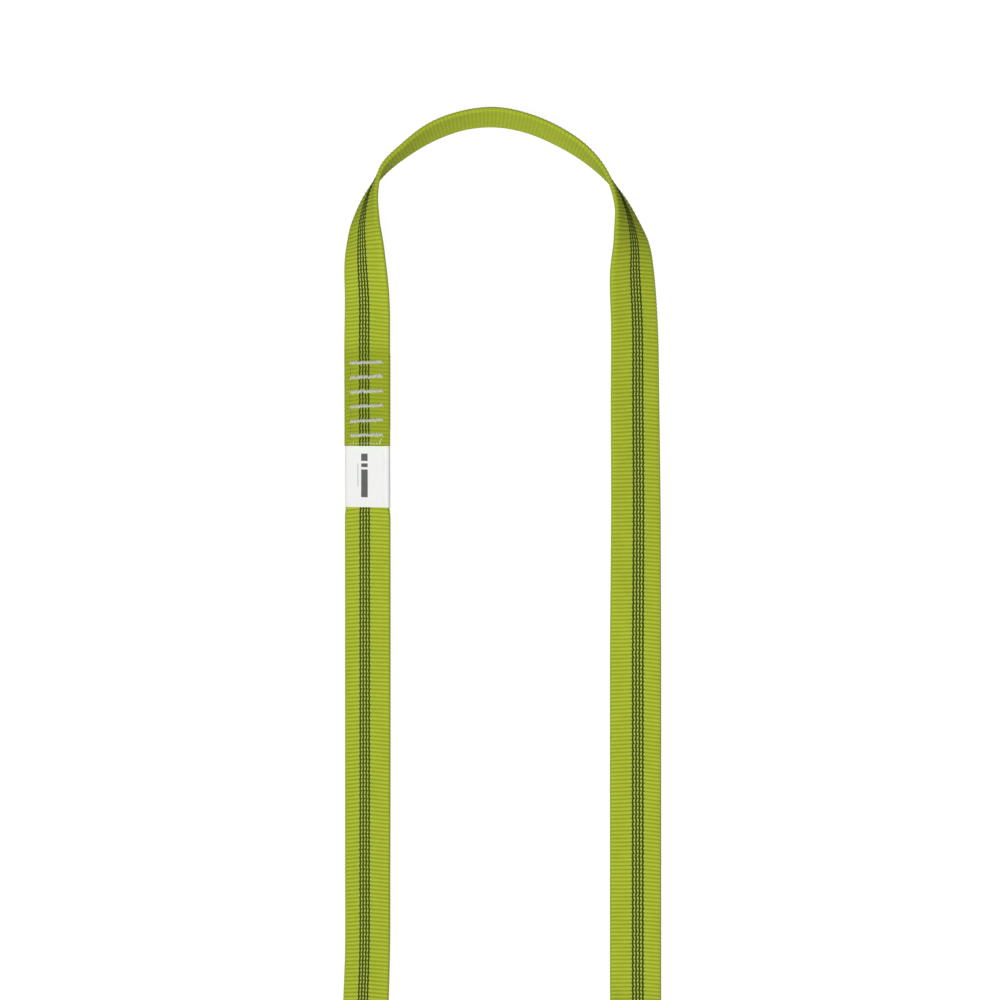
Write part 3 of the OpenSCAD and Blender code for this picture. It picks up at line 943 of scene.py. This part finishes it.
class SLING_OT_bar_tacks(bpy.types.Operator):
    """Sews the bar tacks: needle thread on the front, bobbin thread on the back"""

    bl_idname = "sling.bar_tacks"
    bl_label = "Bar tacks"

    def execute(self, context):
        scene = context.scene
        line, colours = WebLine(scene), scene.sling_colours
        needle = thread_material("needle_thread", colours.needle, SEWING_TWIST, 0.5, groove_shade=0.42, fleck=0.6)
        bobbin = thread_material("bobbin_thread", colours.bobbin, SEWING_TWIST, 0.5, groove_shade=0.62)
        looks = {"needle": (needle, front_face(line), 1), "bobbin": (bobbin, back_face(line), -1)}
        for number in range(1, line.seam.tack_count + 1):
            at = line.seam.tack_start + (number - 1) * line.seam.tack_pitch
            for kind, (material, face, side) in looks.items():
                seed = 10 * number + side
                add_thread(
                    f"bar_tack_{number}_{kind}",
                    bar_tack(line, at, face, side, seed),
                    f"bar_tack_{number}_{kind}_thread",
                    material,
                )
        return {"FINISHED"}


ROW_AT = 1.5 * MM
ROW_PITCH = 1.7 * MM
ROW_SHORT = 0.3
ROW_BULGE = 0.15 * MM
ROW_DIP = -0.4 * MM
ROW_SUNK = 0.3 * MM
TAIL_POINTS = 16


class SLING_OT_end_row(bpy.types.Operator):
    """Sews the row of small stitches that holds the front ply's end and the label's top"""

    bl_idname = "sling.end_row"
    bl_label = "End row"

    def execute(self, context):
        scene = context.scene
        line = WebLine(scene)
        seam, label = line.seam, scene.label_sizes
        label_back = back_face(line) - LABEL_SIDE_CLEAR - label.thickness
        thread = seam.thread * 0.9
        half = seam.tack_length / 2 - thread / 2
        count = 2 * round(2 * half / ROW_PITCH)
        for kind, face, side in (("needle", front_face(line), 1), ("bobbin", label_back, -1)):
            random = np.random.default_rng(70 + side)
            pair = np.arange(count + 1) // 2 + ROW_SHORT * (np.arange(count + 1) % 2)
            u = half * (4 * pair / count - 1) + random.normal(0, 0.05 * MM, count + 1)
            s = ROW_AT + 0.12 * MM * np.where(np.arange(count + 1) % 2 == 0, -1, 1)
            s = s + random.normal(0, 0.06 * MM, count + 1)
            sunk = ROW_SUNK * ease((-u[:-1] - 1 * MM) / (5 * MM))
            bulge = np.where(np.arange(count) % 2 == 0, ROW_BULGE - sunk, ROW_DIP)
            u, s, height = stitch_path(u, s, STITCH_DEPTH, bulge)
            grids = [sewn_thread(line, u + line.seam_shift, s, height, face, side, thread, "along")]
            if side > 0:
                grids.append(end_row_tail(line, face, thread, half))
            add_thread(
                f"end_row_{kind}",
                grids,
                f"end_row_{kind}_thread",
                bpy.data.materials[f"{kind}_thread"],
            )
        return {"FINISHED"}


def end_row_tail(line, face, thread, half):
    """Thread that runs slanting from the row's end to the first bar tack."""
    t = np.linspace(0, 1, TAIL_POINTS)
    u = half - 1.6 * MM + 1.2 * MM * t
    s = ROW_AT - 0.3 * MM + (line.seam.tack_start - ROW_AT - 1.1 * MM) * t
    height = -0.2 * MM + 0.33 * MM * np.sin(np.pi * t) ** 0.5
    return sewn_thread(line, u + line.seam_shift, s, height, face, 1, thread * 0.5, "across")


JUMP_INSET = 0.6 * MM
JUMP_THREAD = 0.26 * MM
JUMP_POINTS = 24
JUMP_HUMP = 0.05 * MM
JUMP_SINK = 0.12 * MM


class SLING_OT_jump_threads(bpy.types.Operator):
    """Lays the thread carried from each bar tack to the next"""

    bl_idname = "sling.jump_threads"
    bl_label = "Jump threads"

    def execute(self, context):
        scene = context.scene
        line = WebLine(scene)
        seam = line.seam
        random = np.random.default_rng(5)
        grids = []
        for number in range(1, seam.tack_count + 1):
            to = seam.tack_start + (number - 1) * seam.tack_pitch - 0.3 * MM
            start = ROW_AT if number == 1 else to - seam.tack_pitch + 0.6 * MM
            t = np.linspace(0, 1, JUMP_POINTS)
            sway = random.normal(0, 0.14 * MM) * np.sin(np.pi * t)
            sway = sway + random.normal(0, 0.05 * MM) * np.sin(3 * np.pi * t)
            u = line.seam_shift - seam.tack_length / 2 + JUMP_INSET + sway
            s = start + (to - start) * t
            height = JUMP_HUMP * np.sin(np.pi * t) - JUMP_SINK
            grids.append(sewn_thread(line, u, s, height, front_face(line), 1, JUMP_THREAD, "across"))
        # Painted shade: this dark olive colour stands for the shade on the sunk thread.
        carried = scene.sling_colours.carried
        material = thread_material("shaded_carried_thread", carried, SEWING_TWIST, 0.6, gloss=0.1)
        add_thread("jump_threads_laid", grids, "jump_threads", material)
        return {"FINISHED"}


# ---- Label --------------------------------------------------------------------------------

LABEL_FRONT_CLEAR = 0.17 * MM
LABEL_SIDE_CLEAR = 0.05 * MM
LABEL_RING_GAP = 0.5 * MM
LABEL_FREE = 6 * MM
LABEL_RIPPLE = 0.05 * MM
LABEL_FLARE = 0.08 * MM
LABEL_FLARE_LENGTH = 3 * MM


def label_levels(line):
    """Heights of the label's inner faces over the back ply's middle: front, then back."""
    half = line.web.thickness / 2
    return half + LABEL_FRONT_CLEAR, -half - LABEL_SIDE_CLEAR


def label_ring(line, grow):
    """The sleeve's outline, grown outwards: (u, v, side)."""
    front, back = label_levels(line)
    high, low = front + grow, back - grow
    u, v, _, out_v = oval(line.web.width - line.label.squeeze + 2 * LABEL_SIDE_CLEAR + 2 * grow, high - low)
    return u, v + (high + low) / 2, out_v


class SLING_OT_label(bpy.types.Operator):
    """Wraps the label round the back ply, with its top tucked between the plies"""

    bl_idname = "sling.label"
    bl_label = "Label"

    def execute(self, context):
        scene = context.scene
        line, label = WebLine(scene), scene.label_sizes
        start, end = line.label_from, line.label_to
        rings = round((end - start) / LABEL_RING_GAP) + 1
        s = np.linspace(start, end, rings)[:, None]
        grids, weaves = [], []
        for grow in (label.thickness, 0.0):
            u, v, side = label_ring(line, grow)
            free = ease((line.length - s) / LABEL_FREE)
            ripple = LABEL_RIPPLE * np.sin(u / (3.1 * MM) + s / (5.3 * MM)) * free
            flare = LABEL_FLARE * ease((start + LABEL_FLARE_LENGTH - s) / LABEL_FLARE_LENGTH)
            v = v + (ripple + flare) * np.sign(side) * (np.abs(side) > 0.5)
            grids.append(line.place(u[None] + 0 * s, s + 0 * u, v))
            weaves.append(np.stack(np.broadcast_arrays(u / MM, (s - start) / MM, side), axis=-1))
        piece = add_piece(
            "label_sleeve",
            np.concatenate([grid.reshape(-1, 3) for grid in grids]),
            sleeve_faces(rings, rings, len(u)),
            {"weave": np.concatenate([weave.reshape(-1, 3) for weave in weaves])},
            ["label"],
            label_material(scene),
        )
        return {"FINISHED"}


LABEL_STITCH_PITCH = 1.1 * MM
LABEL_STITCH_INSET = 2.6 * MM
LABEL_STITCH_THREAD = 0.35 * MM
LABEL_STITCH_DEPTH = 0.25 * MM
LABEL_TWIST = 9.0


class SLING_OT_label_stitches(bpy.types.Operator):
    """Sews the short stitches that close the label along the web's upper edge"""

    bl_idname = "sling.label_stitches"
    bl_label = "Label stitches"

    def execute(self, context):
        scene = context.scene
        line, label = WebLine(scene), scene.label_sizes
        start = line.label_from
        count = int((label.length - LABEL_STITCH_PITCH) / LABEL_STITCH_PITCH)
        corners = start + LABEL_STITCH_PITCH * 0.5 + LABEL_STITCH_PITCH / 2 * np.arange(2 * count + 1)
        random = np.random.default_rng(9)
        u = line.web.width / 2 - LABEL_STITCH_INSET + random.normal(0, 0.04 * MM, len(corners))
        bulge = np.where(np.arange(len(corners) - 1) % 2 == 0, 0.12 * MM, -0.2 * MM)
        path = stitch_path(u, corners, LABEL_STITCH_DEPTH, bulge)
        front, _ = label_levels(line)
        grid = sewn_thread(line, *path, front + label.thickness, 1, LABEL_STITCH_THREAD, "across")
        material = thread_material("label_thread", scene.sling_colours.label, LABEL_TWIST, 0.5, groove_shade=0.8)
        add_thread("label_edge_thread", [grid], "label_edge_stitches", material)
        return {"FINISHED"}


# ---- Stage --------------------------------------------------------------------------------


class StageSettings(bpy.types.PropertyGroup):
    """Camera, lights and floor."""

    camera_height: size("Camera height", "Height of the camera over the table", 1.5)
    camera_x: size("Camera X", "Place of the camera across the legs", -0.0009)
    camera_y: size("Camera Y", "Place of the camera along the legs", 0.0786)
    lens: bpy.props.FloatProperty(
        name="Lens", description="Focal length for a sensor 36 mm wide", default=111.0, unit="CAMERA"
    )
    key_power: bpy.props.FloatProperty(
        name="Key light", description="Strength of the main light", default=2.95
    )
    sky: bpy.props.FloatProperty(
        name="Sky light", description="Strength of the light from all round", default=0.12
    )


FLOOR_HALF = 3.0
FLOOR_GREY = 0.6
FLOOR_GLOW = 1.1
FLOOR_WHITE = 0.88
SENSOR_WIDTH = 36
KEY_SPREAD = 35
KEY_TURN = (19, -11, 0)


def seen_directly(n):
    """1 for rays that come from the camera or through a mirror or glass."""
    path = n.add("ShaderNodeLightPath").outputs
    return n.larger(path["Is Camera Ray"], n.larger(path["Is Glossy Ray"], path["Is Transmission Ray"]))


def white_to_camera(n, shaded, amount):
    """Mixes a shader with plain white light for rays that see it directly."""
    glow = n.add("ShaderNodeEmission")
    glow.inputs["Strength"].default_value = FLOOR_GLOW
    mixed = n.add("ShaderNodeMixShader")
    n.feed(mixed.inputs[0], n.times(seen_directly(n), amount))
    n.feed(mixed.inputs[1], shaded)
    n.feed(mixed.inputs[2], glow.outputs[0])
    return mixed.outputs[0]


class SLING_OT_stage(bpy.types.Operator):
    """Sets up the camera, the lights and a plain pale floor"""

    bl_idname = "sling.stage"
    bl_label = "Stage"

    def execute(self, context):
        scene = context.scene
        stage = scene.sling_stage
        data = bpy.data.cameras.new("camera")
        data.lens = stage.lens
        data.sensor_width = SENSOR_WIDTH
        camera = bpy.data.objects.new("camera", data)
        camera.location = (stage.camera_x, stage.camera_y, stage.camera_height)
        scene.collection.objects.link(camera)
        scene.camera = camera
        scene.view_settings.view_transform = "Standard"

        key_data = bpy.data.lights.new("key", "SUN")
        key_data.energy = stage.key_power
        key_data.angle = math.radians(KEY_SPREAD)
        key = bpy.data.objects.new("key", key_data)
        key.rotation_euler = [math.radians(turn) for turn in KEY_TURN]
        scene.collection.objects.link(key)

        world = bpy.data.worlds.new("room")
        world.use_nodes = True
        n = Nodes(world.node_tree)
        background = world.node_tree.nodes["Background"]
        background.inputs["Color"].default_value = (1, 1, 1, 1)
        background.inputs["Strength"].default_value = stage.sky
        white = n.add("ShaderNodeBackground")
        white.inputs["Strength"].default_value = 1.0
        mixed = n.add("ShaderNodeMixShader")
        n.feed(mixed.inputs[0], seen_directly(n))
        n.feed(mixed.inputs[1], background.outputs[0])
        n.feed(mixed.inputs[2], white.outputs[0])
        n.feed(world.node_tree.nodes["World Output"].inputs[0], mixed.outputs[0])
        scene.world = world

        half = FLOOR_HALF
        mesh = bpy.data.meshes.new("floor")
        mesh.from_pydata(
            [(-half, -half, 0), (half, -half, 0), (half, half, 0), (-half, half, 0)], [], [(0, 1, 2, 3)]
        )
        material = bpy.data.materials.new("pale_floor")
        material.use_nodes = True
        n = Nodes(material.node_tree)
        plain = material.node_tree.nodes["Principled BSDF"]
        plain.inputs["Base Color"].default_value = opaque([FLOOR_GREY] * 3)
        plain.inputs["Roughness"].default_value = 0.9
        plain.inputs["Specular IOR Level"].default_value = 0.0
        output = material.node_tree.nodes["Material Output"]
        n.feed(output.inputs[0], white_to_camera(n, plain.outputs[0], FLOOR_WHITE))
        mesh.materials.append(material)
        floor = bpy.data.objects.new("floor", mesh)
        scene.collection.objects.link(floor)
        return {"FINISHED"}


# ---- Panel and registration ---------------------------------------------------------------

OPERATORS = (
    SLING_OT_stage,
    SLING_OT_webbing,
    SLING_OT_marker_threads,
    SLING_OT_bar_tacks,
    SLING_OT_end_row,
    SLING_OT_jump_threads,
    SLING_OT_label,
    SLING_OT_label_stitches,
)
SETTINGS = {
    "sling_sizes": SlingSizes,
    "webbing_sizes": WebbingSizes,
    "seam_sizes": SeamSizes,
    "label_sizes": LabelSizes,
    "sling_colours": SlingColours,
    "sling_stage": StageSettings,
}


class SLING_PT_panel(bpy.types.Panel):
    """Lists the settings and the pieces"""

    bl_idname = "SLING_PT_panel"
    bl_label = "Sling"
    bl_space_type = "VIEW_3D"
    bl_region_type = "UI"
    bl_category = "Sling"

    def draw(self, context):
        for name, group in SETTINGS.items():
            box = self.layout.box()
            settings = getattr(context.scene, name)
            for setting in group.__annotations__:
                box.prop(settings, setting)
        for operator in OPERATORS:
            self.layout.operator(operator.bl_idname)


def register():
    for group in SETTINGS.values():
        bpy.utils.register_class(group)
    for name, group in SETTINGS.items():
        setattr(bpy.types.Scene, name, bpy.props.PointerProperty(type=group))
    for operator in OPERATORS:
        bpy.utils.register_class(operator)
    bpy.utils.register_class(SLING_PT_panel)


def unregister():
    bpy.utils.unregister_class(SLING_PT_panel)
    for operator in reversed(OPERATORS):
        bpy.utils.unregister_class(operator)
    for name in SETTINGS:
        delattr(bpy.types.Scene, name)
    for group in SETTINGS.values():
        bpy.utils.unregister_class(group)


def main():
    register()
    bpy.ops.sling.stage()
    bpy.ops.sling.webbing()
    bpy.ops.sling.marker_threads()
    bpy.ops.sling.bar_tacks()
    bpy.ops.sling.end_row()
    bpy.ops.sling.jump_threads()
    bpy.ops.sling.label()
    bpy.ops.sling.label_stitches()


if __name__ == "__main__":
    main()
